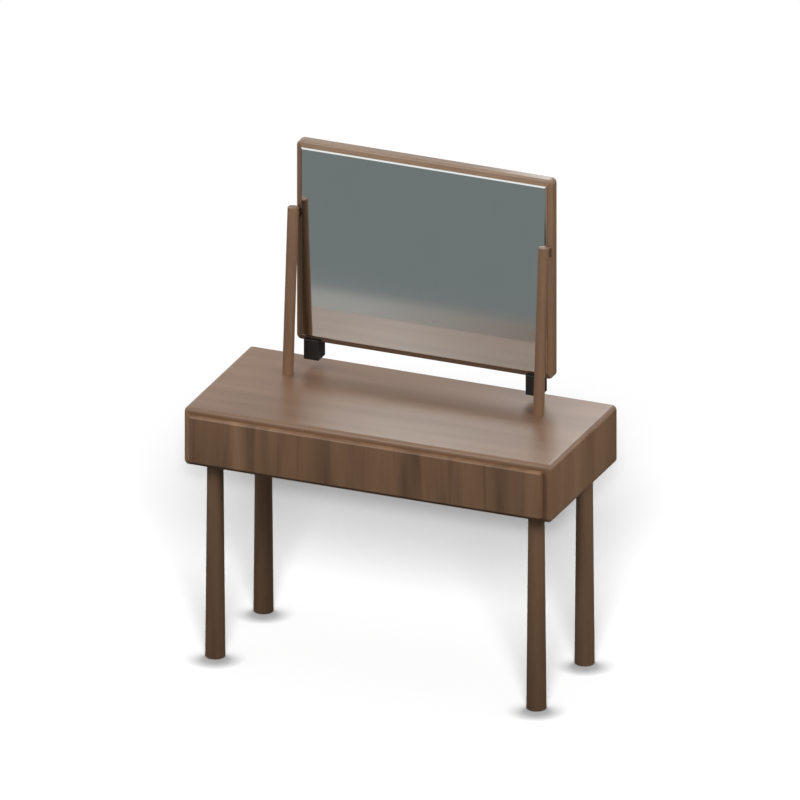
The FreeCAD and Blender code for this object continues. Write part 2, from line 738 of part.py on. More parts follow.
def mirror():
    """The mitred frame, the raised backboard and the glass on it; gives the pieces to drill later."""
    y = ("mirror_front", "mirror_back")
    blank = extrude("frame_blank", "XZ", rectangle("-half_mirror", "half_mirror", "mirror_low",
                                                   "mirror_low + mirror_height"), *y)
    round_edges(blank, "frame_corner", along("Y"))
    round_edges(blank, "frame_round", level("Y", "0"))
    window = block("frame_window", ("-half_opening", "half_opening"),
                   (f"{y[0]} - overcut", f"{y[1]} + overcut"),
                   ("mirror_middle - half_rise", "mirror_middle + half_rise"))
    board = ("backboard_front", "backboard_front + backboard_thickness")
    side = "half_opening + backboard_groove"
    rise = "(half_rise + backboard_groove)"
    groove = block("frame_groove", (f"-({side})", side), (f"{board[0]} - fit", f"{board[1]} + fit"),
                   (f"mirror_middle - {rise}", f"mirror_middle + {rise}"))
    tongue = block("backboard_tongue", (f"-({side} - play)", f"{side} - play"), board,
                   (f"mirror_middle - {rise} + play", f"mirror_middle + {rise} - play"))
    field = block("backboard_field", ("-half_opening + play", "half_opening - play"),
                  ("glass_back", board[1]),
                  ("mirror_middle - half_rise + play", "mirror_middle + half_rise - play"))
    keep(join("mirror_backboard", [tongue, field]))
    seat = ("half_opening + key_inset", "mirror_middle", "half_rise + key_inset")
    span = ("mirror_front + key_setback", "mirror_front + key_setback + key_length")
    keys = mitre_tongues("key", *seat, "key_width", "key_thickness", *span)
    keep(gather("mirror_corner_keys", keys))
    slots = mitre_tongues("key_slot", *seat, "(key_width + 2 * fit)", "(key_thickness + 2 * fit)",
                          f"{span[0]} - fit", f"{span[1]} + fit")
    frame = cut("frame_shell", cut("frame_ring", blank, [join("frame_room", [window, groove])]), slots)
    shares = mitre_shares("frame", "half_mirror", "mirror_middle", "mirror_height / 2", *y)
    body = block("glass_body", ("-half_glass", "half_glass"), ("glass_front + bevel_depth", "glass_back"),
                 ("mirror_middle - half_glass_rise", "mirror_middle + half_glass_rise"))
    bevel = doc.addObject("Part::Wedge", "glass_bevel")
    bind(bevel, {
        "Xmin": "-half_glass + bevel_width", "Xmax": "half_glass - bevel_width",
        "Zmin": "-half_glass_rise + bevel_width", "Zmax": "half_glass_rise - bevel_width",
        "Ymin": "0", "Ymax": "bevel_depth",
        "X2min": "-half_glass", "X2max": "half_glass",
        "Z2min": "-half_glass_rise", "Z2max": "half_glass_rise",
    })
    put(bevel, ("0", "glass_front", "mirror_middle"))
    keep(join("mirror_glass", [body, bevel]))
    return {side: common(f"mirror_frame_{side}_blank", frame, share) for side, share in shares.items()}


def pivots():
    """An eye screw in each post and a clevis on each stile, with pin and washers; gives the stile holes."""
    axis_y, axis_z = "pivot_y", "pivot_z"
    reach = "(clevis_height / 2 - pivot_screw_inset)"
    plate_front = "mirror_front - clevis_plate"
    spots = [(f"{hand} * post_x", plate_front, f"{axis_z} + {rise} * {reach}")
             for hand in SIDES.values() for rise in (-1, 1)]
    holes = screws("pivot_screws", spots, "back", "small_screw", "pivot_screw_length")
    pins, washers = [], []
    for index, (side, hand) in enumerate(SIDES.items()):
        x = f"{hand} * post_x"
        centre = (x, axis_y, axis_z)

        def across(width):
            return (f"{x} - ({width}) / 2", axis_y, axis_z)
        eye = join(f"eye_{side}_blank", [
            stud(f"eye_disc_{side}", DISC_FLAT_COUNT, "eye_radius", "eye_width",
                 across("eye_width"), "right"),
            stud(f"eye_stem_{side}", SCREW_FLAT_COUNT, "stem_radius", "pivot_reach + eye_grip",
                 centre, "front")])
        bore = rod(f"eye_bore_{side}", "pivot_pin / 2 + pivot_running", "2 * eye_width",
                   across("2 * eye_width"), "right")
        keep(cut(f"pivot_eye_{side}", eye, [bore]))
        width = (f"{x} - clevis_width / 2", f"{x} + clevis_width / 2")
        plate = block(f"clevis_plate_{side}", width, (plate_front, "mirror_front"),
                      (f"{axis_z} - clevis_height / 2", f"{axis_z} + clevis_height / 2"))
        ears = block(f"clevis_ears_{side}", width, (f"{axis_y} - eye_radius", plate_front),
                     (f"{axis_z} - eye_radius", f"{axis_z} + eye_radius"))
        solid = join(f"clevis_{side}_blank", [plate, ears])
        room = "eye_width / 2 + washer_room"
        slot = block(f"clevis_slot_{side}", (f"{x} - ({room})", f"{x} + {room}"),
                     (f"{axis_y} - eye_radius - overcut", plate_front),
                     (f"{axis_z} - overcut", f"{axis_z} + overcut"))
        bore = stud(f"clevis_bore_{side}", DISC_FLAT_COUNT,
                    f"(pivot_pin / 2 + fit) / cos({HALF_TURN} / {DISC_FLAT_COUNT})", "2 * clevis_width",
                    across("2 * clevis_width"), "right")
        own_holes = holes[2 * index:2 * index + 2]
        keep(cut(f"pivot_clevis_{side}", solid, [join(f"clevis_room_{side}", [slot, bore]), *own_holes]))
        pins.append(rod(f"pin_{side}", "pivot_pin / 2", "clevis_width", across("clevis_width"), "right"))
        for toward in SIDES:
            start = shifted(centre, toward, "eye_width / 2 + friction_play")
            washers.append(washer(f"friction_washer_{side}_{toward}", "eye_radius - friction_rim",
                                  "washer_bore", "friction_washer", start, toward))
    keep(gather("pivot_pins", pins))
    keep(gather("pivot_washers", washers))
    return {"left": holes[:2], "right": holes[2:]}


def shoes():
    """Two weighted shoes that hook under the bottom rail; gives the rail holes."""
    section = [
        ("shoe_front", "shoe_low"), ("mirror_back", "shoe_low"), ("mirror_back", "mirror_low"),
        ("mirror_front", "mirror_low"), ("mirror_front", "mirror_low + shoe_lip_height"),
        ("shoe_front", "mirror_low + shoe_lip_height"),
    ]
    spots = [(f"{hand} * (shoe_middle) + {step} * shoe_screw_spacing / 2",
              "mirror_front + shoe_screw_setback", "shoe_low + shoe_counterbore")
             for hand in SIDES.values() for step in (-1, 1)]
    length = "shoe_drop - shoe_counterbore + shoe_screw_grip"
    holes = screws("shoe_screws", spots, "up", "shoe_screw", length)
    front, low = number("shoe_front"), number("shoe_low")
    for index, side in enumerate(SIDES):
        x = ("-shoe_outside", "shoe_width - shoe_outside") if side == "left" else (
            "shoe_outside - shoe_width", "shoe_outside")
        blank = extrude(f"shoe_{side}_blank", "YZ", section, *x)
        chamfer_edges(blank, "shoe_chamfer", lambda edge: edge.BoundBox.YMax < front + TINY
                      or edge.BoundBox.ZMax < low + TINY)
        drilled = []
        for place in (2 * index, 2 * index + 1):
            x, y, _ = spots[place]
            well = stud(f"shoe_well_{place}", DISC_FLAT_COUNT, "shoe_screw + play",
                        "shoe_counterbore + overcut", (x, y, "shoe_low - overcut"), "up")
            drilled.append(join(f"shoe_bore_{place}", [holes[place], well]))
        keep(cut(f"mirror_shoe_{side}", blank, drilled))
    return holes


def check_and_write():
    """Stops if any object failed or any sub-part isn't sound, then writes each sub-part to its file."""
    doc.recompute()
    failed = [item.Label for item in doc.Objects if {"Invalid", "Error"} & set(item.State)]
    unsound = [item.Label for item in nodes if item.Shape.isNull() or not item.Shape.isValid()]
    if failed or unsound:
        raise RuntimeError(f"failed: {failed}; unsound: {unsound}")
    os.makedirs("parts", exist_ok=True)
    for item in nodes:
        item.Shape.exportStep(f"parts/{item.Label}.step")
    print(f"{len(nodes)} sub-parts, {sum(len(item.Shape.Solids) for item in nodes)} solids")


leg_seats = leg_set()
post_holes = post_set()
back_holes = back_panel()
case_slide_holes, drawer_slide_holes = drawer_slides()
case_boards(leg_seats, post_holes, back_holes, case_slide_holes)
drawer(drawer_slide_holes)
frame_blanks = mirror()
rail_holes = {**pivots(), "bottom": shoes()}
for place, rail in frame_blanks.items():
    name = f"mirror_frame_{place}"
    if place in rail_holes:
        keep(cut(name, rail, rail_holes[place]))
    else:
        rail.Label = name
        keep(rail)
check_and_write()
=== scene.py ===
import math

import bpy
from mathutils import Matrix, Vector


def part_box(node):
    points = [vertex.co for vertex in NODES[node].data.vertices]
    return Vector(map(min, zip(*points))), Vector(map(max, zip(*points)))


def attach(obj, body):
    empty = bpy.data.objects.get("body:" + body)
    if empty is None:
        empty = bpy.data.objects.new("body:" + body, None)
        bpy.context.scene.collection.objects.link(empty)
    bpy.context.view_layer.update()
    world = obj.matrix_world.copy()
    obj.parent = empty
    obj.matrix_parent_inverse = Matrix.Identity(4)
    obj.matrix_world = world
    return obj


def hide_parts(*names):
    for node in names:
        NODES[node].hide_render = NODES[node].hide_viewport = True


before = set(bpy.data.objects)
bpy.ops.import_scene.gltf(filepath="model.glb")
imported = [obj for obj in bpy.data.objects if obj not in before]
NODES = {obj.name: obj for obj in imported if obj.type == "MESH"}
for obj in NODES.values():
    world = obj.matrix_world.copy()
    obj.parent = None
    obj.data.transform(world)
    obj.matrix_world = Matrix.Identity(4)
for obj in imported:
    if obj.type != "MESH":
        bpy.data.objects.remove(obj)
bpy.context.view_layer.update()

WHITE = (1.0, 1.0, 1.0, 1.0)
QUARTER_TURN = 90.0

# Camera: a parallel view from the front right, slightly above (metres, degrees)
VIEW_AZIMUTH = 22.6
VIEW_ELEVATION = 22.95
VIEW_WIDTH = 2.208
VIEW_SHIFT_RIGHT = 0.00425
VIEW_SHIFT_UP = 0.7211
CAMERA_DISTANCE = 6.0

# Softboxes for the object: degrees around from the front and up, metres away, metres wide and high, watts
SOFTBOX_AIM = (0.1, 0.0, 0.8)
SOFTBOXES = {
    "back_softbox": {"around": 181.0, "up": 31.0, "distance": 1.9, "size": (0.7, 0.7), "power": 7.2},
    "high_softbox": {"around": -100.0, "up": 40.0, "distance": 3.0, "size": (1.9, 1.2), "power": 22.0},
    "left_softbox": {"around": -21.0, "up": 32.0, "distance": 1.9, "size": (0.9, 0.4), "power": 9.0},
    "low_softbox": {"around": -34.0, "up": 18.0, "distance": 1.9, "size": (0.6, 0.4), "power": 1.3},
    "right_softbox": {"around": 66.0, "up": 35.0, "distance": 3.0, "size": (1.9, 1.2), "power": 32.0},
}

# Distant lights for the floor alone: degrees around from the front, up and wide, and strength. The first
# draws the soft shadow, the second leaves the floor under the case a little darker, and the third gives
# the shadow a firmer edge, which only the nodes below throw.
FLOOR_LIGHTS = {
    "shadow_light": {"around": 22.6, "up": 28.0, "angle": 21.0, "power": 15.2},
    "dome_light": {"around": 0.0, "up": 90.0, "angle": 150.0, "power": 3.3},
    "edge_light": {"around": 22.6, "up": 24.0, "angle": 2.5, "power": 6.6},
}
EDGE_NODES = ("case_top", "case_bottom", "case_side_left", "case_side_right", "drawer_front")

# Surround: its strength as a soft light, and where it is seen
SURROUND_STRENGTH = 0.12
SEEN_STRENGTH = 1.0

# Floor: half its size, its shade for soft light, and where its fade to white begins and ends (metres)
FLOOR_HALF = 30.0
FLOOR_SHADE = 0.025
FADE = (1.3, 2.15)

# Contact shade at the feet: its reach (metres), the way the floor looks for a foot (degrees around and up),
# how open the floor is where it is darkest and palest, and the floor's shade there
CONTACT_REACH = 0.065
CONTACT_FROM = (202.6, 40.0)
CONTACT_OPEN = (0.72, 1.0)
CONTACT_SHADE = (0.105, 0.25)

# Glowing cards that only gloss and the mirror see, whose greys are painted reflections: strips just over the
# floor, from front to back, of which the bright one fades from left to right, and an upright flag (metres)
CARD_HALF = 12.0
CARD_LIFT = 0.004
COOL_REFLECTION_GREY = (0.185, 0.205, 0.205, 1.0)
BRIGHT_REFLECTION_GREY = (0.37, 0.355, 0.335, 1.0)
BRIGHT_REFLECTION_END = (0.217, 0.165, 0.135, 1.0)
DARK_REFLECTION_GREY = (0.06, 0.055, 0.05, 1.0)
CARDS = {
    "far_card": {"depth": (-CARD_HALF, -1.99), "grey": COOL_REFLECTION_GREY},
    "bright_card": {"depth": (-1.99, -1.65), "grey": BRIGHT_REFLECTION_GREY, "end": BRIGHT_REFLECTION_END},
    "front_card": {"depth": (-1.65, -1.0), "grey": COOL_REFLECTION_GREY},
    "dark_card": {"depth": (-1.0, CARD_HALF), "grey": DARK_REFLECTION_GREY},
}
CARD_FADE = (-1.05, -0.45)
FLAG_REFLECTION_GREY = (0.08, 0.08, 0.08, 1.0)
FLAG_SIDES = (-0.65, 0.6)
FLAG_RISE = (0.95, 1.7)
FLAG_FRONT = -1.5

# Pieces: the angle from which an edge stays sharp (degrees), and the glass's bevel (metres)
SMOOTH_ANGLE = 35.0
GLASS_BEVEL = 0.0035

# Turned legs (metres), with the seed of each one's grain
LEG_SEEDS = {"leg_front_left": 17.0, "leg_front_right": 27.0, "leg_back_left": 37.0, "leg_back_right": 47.0}
LEG_LOOK = {"shade": 1.05, "flames": 0.12}
LEG_TOP_RADIUS = 0.02275
LEG_SEGMENTS = 72
FOOT_ROUND = 0.002
FOOT_STEPS = 6
BORE_RADIUS = 0.0045
BORE_DEPTH = 0.041

# Screws: the body that each node rides on
SCREW_BODIES = {
    "back_screws": "table",
    "leg_plate_screws": "table",
    "slide_case_screws": "table",
    "slide_drawer_screws": "drawer",
    "drawer_front_screws": "drawer",
    "shoe_screws": "mirror",
}
# Their form, as shares of the plain screw, of the head's radius or depth, or of the stem's radius
SCREW_SEGMENTS = 24
PLAIN_SHARE = 0.95
HEAD_DEPTH = 0.6
HEAD_CURVE = ((1.0, 0.35), (0.94, 0.70), (0.80, 0.92), (0.66, 1.0))
TIP_SHARE = 0.35
RECESS_ARM = 0.48
RECESS_HALF = 0.1
RECESS_DEPTH = 0.55
RECESS_ARMS = 4
ARM_CORNERS = 3
# How far each head is turned past the one before (degrees), how near to an end of a plain screw its radius
# is taken (metres), and the digits to which points of one solid have to agree
SCREW_SPIN = 37.0
END_REACH = 0.0005
POINT_DIGITS = 5

# The sRGB curve of screen values
SCREEN_WHITE = 255.0
SCREEN_KNEE = 0.04045
SCREEN_SLOPE = 12.92
SCREEN_OFFSET = 0.055
SCREEN_POWER = 2.4

# The numbers of a Mix node's colour sockets, whose names it uses more than once
MIX_FACTOR, MIX_FIRST, MIX_SECOND, MIX_RESULT = 0, 6, 7, 2

# Patterns: how a seed moves them on each axis, the places of most ramps' two colours, and how much a shading
# of depth 1 darkens and lightens red, green and blue
SEED_SHIFT = (1.0, 1.7, 2.3)
EVEN_STOPS = (0.3, 0.7)
DARKEN = (1.0, 1.1, 1.2)
LIGHTEN = (0.25, 0.25, 0.2)

# Noises below are scale, detail, roughness and distortion; a draw is the scale along the grain; a relief is
# the strength and depth of a bump. Screen tones run from dark to light.
WALNUT = ((131, 100, 76), (144, 112, 87), (154, 121, 95))
FRONT = ((112, 84, 62), (139, 106, 80), (157, 121, 92))
# Paler tones for the mirror's top rail: painted light on its lit top face
RAIL_PAINTED_LIGHT_TONES = ((150, 124, 104), (166, 140, 119), (178, 152, 131))
WALNUT_BROAD_DRAW = 0.09
WALNUT_FINE_DRAW = 0.02
WALNUT_FINE_SEED = 3.0
BANDS, BAND_STOPS = (11.0, 2.0, 0.5, 0.3), (0.30, 0.50, 0.70)
FLAMES, FLAME_STOPS = (24.0, 2.0, 0.5, 0.8), (0.34, 0.52)
LINES, LINE_STOPS, LINE_DEPTH = (55.0, 4.0, 0.6, 1.4), (0.35, 0.62), 0.07
STREAKS, STREAK_STOPS, STREAK_DEPTH = (300.0, 3.0, 0.6), (0.32, 0.60), 0.06
PORES, PORE_STOPS, PORE_DEPTH = (1300.0, 2.0, 0.5), (0.30, 0.40), 0.22
WALNUT_ROUGHNESS = (0.46, 0.38)
WALNUT_RELIEF = (0.08, 0.0006)

BIRCH = ((190, 160, 122), (214, 188, 152))
BIRCH_BROAD_DRAW = 0.12
BIRCH_FINE_DRAW = 0.025
BIRCH_FINE_SEED = 2.0
BIRCH_BANDS = (18.0, 3.0, 0.55, 0.6)
BIRCH_STREAKS = (380.0, 3.0, 0.6)
BIRCH_STREAK_STOPS = (0.30, 0.60)
BIRCH_STREAK_SHADES = ((0.86, 0.83, 0.79, 1.0), (1.02, 1.02, 1.02, 1.0))
BIRCH_ROUGHNESS = (0.52, 0.40)
BIRCH_RELIEF = (0.1, 0.0005)

MIRROR_SEED = 0.4
MIRROR_HAZE = (6.0, 3.0, 0.6)
MIRROR_STOPS = (0.2, 0.8)
MIRROR_TINTS = ((0.80, 0.83, 0.825, 1.0), (0.84, 0.865, 0.86, 1.0))
MIRROR_ROUGHNESS = (0.05, 0.07)

IRON_SEED = 0.9
IRON_GRAIN = (900.0, 2.0, 0.6)
IRON_WEAR = (40.0, 3.0, 0.6)
IRON_ROUGHNESS = (0.36, 0.50)
IRON_RELIEF = (0.15, 0.0003)

ZINC_DRAW = 0.03
ZINC_MARK_SEED = 0.2
ZINC_MARKS = (700.0, 3.0, 0.6)
ZINC_MARK_SHADES = ((0.88, 0.88, 0.88, 1.0), WHITE)
ZINC_CLOUD_SEED = 1.2
ZINC_CLOUDS = (60.0, 3.0, 0.6)
ZINC_CLOUD_SHADES = ((0.50, 0.51, 0.52, 1.0), (0.62, 0.63, 0.63, 1.0))
ZINC_ROUGHNESS = (0.26, 0.40)

MOULDED_SEED = 2.1
MOULDED_DETAIL = 4.0
MOULDED_COARSENESS = 0.65
MOULDED_STRENGTH = 0.4

# Finishes, with what sets each apart from the others of its kind
WALNUT_FINISHES = {
    "walnut_top": {"grain": "X", "seed": 0.0, "shade": 1.04, "figure": 0.45, "roughness": (0.41, 0.38)},
    "walnut_bottom": {"grain": "X", "seed": 5.0},
    # The sides take a brighter shade of the same walnut: painted light, for the light that falls on them
    "walnut_sides": {"grain": "Z", "seed": 7.0, "shade": 1.37},
    "walnut_drawer_front": {
        "grain": "Z", "seed": 11.0, "shade": 1.05, "tones": FRONT, "figure": 0.4, "flames": 0.22,
    },
    "walnut_back": {"grain": "X", "seed": 13.0, "shade": 1.1},
    "walnut_posts": {"grain": "Z", "seed": 17.0, "shade": 1.06, "flames": 0.12},
    # The top rail is paler and brighter than the other rails: painted light from above
    "walnut_top_rail": {
        "grain": "X", "seed": 19.0, "shade": 1.3, "tones": RAIL_PAINTED_LIGHT_TONES, "figure": 1.6, "roughness": (0.34, 0.26),
    },
    # The bottom rail is darker than the other rails: painted shade on its front under the glass
    "walnut_bottom_rail": {"grain": "X", "seed": 21.0, "shade": 0.6},
    "walnut_stiles": {"grain": "Z", "seed": 23.0, "shade": 1.16},
}
BIRCH_FINISHES = {
    "birch_across": {"grain": "X", "seed": 1.0},
    "birch_deep": {"grain": "Y", "seed": 4.0},
    "birch_upright": {"grain": "Z", "seed": 6.0},
}
IRON_FINISHES = {
    "black_iron": {"tones": ((17, 16, 16), (26, 25, 24))},
    "browned_iron": {"tones": ((104, 80, 62), (120, 93, 72))},
}
MOULDED_FINISHES = {
    "dark_nylon": {
        "tones": ((38, 36, 34), (52, 50, 47)), "roughness": (0.45, 0.6), "scale": 500.0, "depth": 0.0002,
    },
    "grey_felt": {
        "tones": ((96, 92, 88), (128, 124, 118)), "roughness": (0.9, 1.0), "scale": 1500.0, "depth": 0.0006,
    },
}

# The nodes that each finish covers
FINISHED_NODES = {
    "walnut_top": ["case_top"],
    "walnut_bottom": ["case_bottom"],
    "walnut_sides": ["case_side_left", "case_side_right"],
    "walnut_drawer_front": ["drawer_front"],
    "walnut_back": ["case_back"],
    "walnut_posts": ["post_left", "post_right"],
    "walnut_top_rail": ["mirror_frame_top"],
    "walnut_bottom_rail": ["mirror_frame_bottom"],
    "walnut_stiles": ["mirror_frame_left", "mirror_frame_right"],
    "birch_across": ["drawer_inner_front", "drawer_back", "drawer_bottom"],
    "birch_deep": ["drawer_side_left", "drawer_side_right", "case_tongues", "drawer_dowels"],
    "birch_upright": ["mirror_backboard", "mirror_corner_keys"],
    "black_iron": ["mirror_shoe_left", "mirror_shoe_right"],
    "browned_iron": [
        "pivot_clevis_left", "pivot_clevis_right", "pivot_eye_left", "pivot_eye_right",
        "pivot_pins", "pivot_screws",
    ],
    "zinc_steel": [
        "leg_bolts", "leg_plates", "post_screws", "post_washers",
        "slide_case_left", "slide_case_right", "slide_drawer_left", "slide_drawer_right",
        "slide_middle_left", "slide_middle_right",
    ],
    "dark_nylon": ["leg_glides", "pivot_washers"],
    "grey_felt": ["drawer_bumpers"],
}


def tone(red, green, blue, shade=1.0):
    """A screen colour from 0 to 255 as the linear colour that a shader takes, lightened by a factor."""
    def linear(value):
        share = value / SCREEN_WHITE
        if share <= SCREEN_KNEE:
            return share / SCREEN_SLOPE
        return ((share + SCREEN_OFFSET) / (1.0 + SCREEN_OFFSET)) ** SCREEN_POWER
    return (shade * linear(red), shade * linear(green), shade * linear(blue), 1.0)


def toward(around, up):
    """The direction that stands so many degrees around from the front and so many degrees up."""
    turn, rise = math.radians(around), math.radians(up)
    return Vector((math.sin(turn) * math.cos(rise), -math.cos(turn) * math.cos(rise), math.sin(rise)))


def node(tree, kind, sockets=None, **settings):
    """Add a shader node, set its options, and set or link its sockets."""
    made = tree.nodes.new(kind)
    for name, value in settings.items():
        setattr(made, name, value)
    for name, value in (sockets or {}).items():
        if isinstance(value, bpy.types.NodeSocket):
            tree.links.new(value, made.inputs[name])
        else:
            made.inputs[name].default_value = value
    return made


def new_material(name):
    """A fresh material, its node tree and its surface shader."""
    material = bpy.data.materials.new(name)
    material.use_nodes = True
    tree = material.node_tree
    return material, tree, tree.nodes["Principled BSDF"]


def stage_material(obj, name):
    """Give a stage piece a fresh material, and return its node tree and the socket for its surface."""
    material, tree, shader = new_material(name)
    tree.nodes.remove(shader)
    obj.data.materials.append(material)
    return tree, tree.nodes["Material Output"].inputs["Surface"]


def ramp(tree, factor, places, colours):
    """A colour ramp that has its colours at these places."""
    made = node(tree, "ShaderNodeValToRGB", {"Fac": factor})
    elements = made.color_ramp.elements
    while len(elements) < len(places):
        elements.new(0.5)
    for element, place, colour in zip(elements, places, colours):
        element.position = place
        element.color = colour
    return made.outputs["Color"]


def noise(tree, vector, scale, detail, roughness, distortion=0.0):
    """The grey value of a noise pattern."""
    sockets = {"Vector": vector, "Scale": scale, "Detail": detail}
    sockets.update({"Roughness": roughness, "Distortion": distortion})
    return node(tree, "ShaderNodeTexNoise", sockets).outputs["Fac"]


def stretched(tree, seed, grain="X", draw=1.0):
    """Object coordinates moved by a seed, and drawn out along the grain axis where the draw is under 1."""
    coordinates = node(tree, "ShaderNodeTexCoord").outputs["Object"]
    location = [share * seed for share in SEED_SHIFT]
    scale = [draw if axis == grain else 1.0 for axis in "XYZ"]
    sockets = {"Vector": coordinates, "Location": location, "Scale": scale}
    return node(tree, "ShaderNodeMapping", sockets).outputs["Vector"]


def multiplied(tree, first, second):
    """The product of two colours."""
    sockets = {MIX_FACTOR: 1.0, MIX_FIRST: first, MIX_SECOND: second}
    return node(tree, "ShaderNodeMix", sockets, data_type="RGBA", blend_type="MULTIPLY").outputs[MIX_RESULT]


def spread(tree, value, low, high, start=0.0, end=1.0, easing="LINEAR"):
    """Map the range from start to end to the range from low to high."""
    made = node(
        tree,
        "ShaderNodeMapRange",
        {"Value": value, "From Min": start, "From Max": end, "To Min": low, "To Max": high},
        interpolation_type=easing,
    )
    return made.outputs["Result"]


def shading(tree, value, places, depth):
    """A multiplier that darkens the low end of a pattern by a depth and lightens its high end a little."""
    darkest = [1.0 - share * depth for share in DARKEN] + [1.0]
    lightest = [1.0 + share * depth for share in LIGHTEN] + [1.0]
    return ramp(tree, value, places, (darkest, lightest))


def set_surface(tree, shader, colour, roughness):
    """Link a surface's colour and roughness."""
    tree.links.new(colour, shader.inputs["Base Color"])
    tree.links.new(roughness, shader.inputs["Roughness"])


def set_relief(tree, shader, height, strength, depth):
    """Raise a surface by a pattern."""
    bump = node(tree, "ShaderNodeBump", {"Height": height, "Strength": strength, "Distance": depth})
    tree.links.new(bump.outputs["Normal"], shader.inputs["Normal"])


def walnut(name, grain, seed, shade=1.0, tones=WALNUT, figure=1.0, flames=0.0, roughness=WALNUT_ROUGHNESS):
    """Oiled walnut: broad colour bands, flames, growth lines, fine streaks and open pores along one axis."""
    material, tree, shader = new_material(name)
    broad = stretched(tree, seed, grain, WALNUT_BROAD_DRAW)
    fine = stretched(tree, seed + WALNUT_FINE_SEED, grain, WALNUT_FINE_DRAW)
    lines = noise(tree, broad, *LINES)
    streaks = noise(tree, fine, *STREAKS)
    layers = (
        (noise(tree, broad, *FLAMES), FLAME_STOPS, flames),
        (lines, LINE_STOPS, LINE_DEPTH * figure),
        (streaks, STREAK_STOPS, STREAK_DEPTH * figure),
        (noise(tree, fine, *PORES), PORE_STOPS, PORE_DEPTH * figure),
    )
    colour = ramp(tree, noise(tree, broad, *BANDS), BAND_STOPS, [tone(*values, shade) for values in tones])
    for pattern, places, depth in layers:
        colour = multiplied(tree, colour, shading(tree, pattern, places, depth))
    set_surface(tree, shader, colour, spread(tree, lines, *roughness))
    set_relief(tree, shader, streaks, *WALNUT_RELIEF)
    return material


def birch(name, grain, seed):
    """Pale lacquered birch plywood with soft streaks."""
    material, tree, shader = new_material(name)
    broad = stretched(tree, seed, grain, BIRCH_BROAD_DRAW)
    fine = stretched(tree, seed + BIRCH_FINE_SEED, grain, BIRCH_FINE_DRAW)
    streaks = noise(tree, fine, *BIRCH_STREAKS)
    base = ramp(tree, noise(tree, broad, *BIRCH_BANDS), EVEN_STOPS, [tone(*values) for values in BIRCH])
    shade = ramp(tree, streaks, BIRCH_STREAK_STOPS, BIRCH_STREAK_SHADES)
    set_surface(tree, shader, multiplied(tree, base, shade), spread(tree, streaks, *BIRCH_ROUGHNESS))
    set_relief(tree, shader, streaks, *BIRCH_RELIEF)
    return material


def mirror_silver():
    """Silvered glass, a little cool and very slightly hazy."""
    material, tree, shader = new_material("mirror_silver")
    haze = noise(tree, stretched(tree, MIRROR_SEED), *MIRROR_HAZE)
    tint = ramp(tree, haze, MIRROR_STOPS, MIRROR_TINTS)
    set_surface(tree, shader, tint, spread(tree, haze, *MIRROR_ROUGHNESS))
    shader.inputs["Metallic"].default_value = 1.0
    return material


def iron(name, tones):
    """Coated iron with a fine grainy skin."""
    material, tree, shader = new_material(name)
    place = stretched(tree, IRON_SEED)
    wear = noise(tree, place, *IRON_WEAR)
    base = ramp(tree, wear, EVEN_STOPS, [tone(*values) for values in tones])
    set_surface(tree, shader, base, spread(tree, wear, *IRON_ROUGHNESS))
    set_relief(tree, shader, noise(tree, place, *IRON_GRAIN), *IRON_RELIEF)
    return material


def zinc_steel():
    """Bright zinc-plated steel with faint rolling marks and cloudy patches."""
    material, tree, shader = new_material("zinc_steel")
    marks = noise(tree, stretched(tree, ZINC_MARK_SEED, "Y", ZINC_DRAW), *ZINC_MARKS)
    clouds = noise(tree, stretched(tree, ZINC_CLOUD_SEED), *ZINC_CLOUDS)
    base = ramp(tree, clouds, EVEN_STOPS, ZINC_CLOUD_SHADES)
    shade = ramp(tree, marks, EVEN_STOPS, ZINC_MARK_SHADES)
    set_surface(tree, shader, multiplied(tree, base, shade), spread(tree, marks, *ZINC_ROUGHNESS))
    shader.inputs["Metallic"].default_value = 1.0
    return material


def moulded(name, tones, roughness, scale, depth):
    """A matt moulded or pressed material with a fine mottled skin."""
    material, tree, shader = new_material(name)
    mottle = noise(tree, stretched(tree, MOULDED_SEED), scale, MOULDED_DETAIL, MOULDED_COARSENESS)
    base = ramp(tree, mottle, EVEN_STOPS, [tone(*values) for values in tones])
    set_surface(tree, shader, base, spread(tree, mottle, *roughness))
    set_relief(tree, shader, mottle, MOULDED_STRENGTH, depth)
    return material


def dress_nodes(steel):
    """Make the finishes, and give each to the nodes that it covers."""
    finishes = {"zinc_steel": steel}
    kinds = (
        (walnut, WALNUT_FINISHES),
        (birch, BIRCH_FINISHES),
        (iron, IRON_FINISHES),
        (moulded, MOULDED_FINISHES),
    )
    for make, looks in kinds:
        for name, look in looks.items():
            finishes[name] = make(name, **look)
    for name, node_names in FINISHED_NODES.items():
        for node_name in node_names:
            for slot in NODES[node_name].material_slots:
                slot.material = finishes[name]


def add_piece(name, vertices, faces, material, body, nodes):
    """A piece that takes the place of CAD nodes and rides on their body."""
    mesh = bpy.data.meshes.new(name)
    mesh.from_pydata(vertices, [], faces)
    mesh.shade_smooth()
    mesh.set_sharp_from_angle(angle=math.radians(SMOOTH_ANGLE))
    mesh.materials.append(material)
    obj = bpy.data.objects.new(name, mesh)
    bpy.context.scene.collection.objects.link(obj)
    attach(obj, body)
    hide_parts(*nodes)
    return obj


def ring(radius, height, count):
    """Points around the Z axis."""
    turns = [2.0 * math.pi * step / count for step in range(count)]
    return [Vector((radius * math.cos(turn), radius * math.sin(turn), height)) for turn in turns]


def lathed(profile, count):
    """Vertices and faces of a turned shape, from (radius, height) points upwards along its outside."""
    vertices, rings = [], []
    for radius, height in profile:
        made = ring(radius, height, count) if radius else [Vector((0.0, 0.0, height))]
        rings.append(range(len(vertices), len(vertices) + len(made)))
        vertices += made
    faces = []
    for low, high in zip(rings, rings[1:]):
        for step in range(count):
            after = step + 1
            below = [low[step % len(low)], low[after % len(low)]]
            above = [high[after % len(high)], high[step % len(high)]]
            faces.append(list(dict.fromkeys(below + above)))
    return vertices, faces


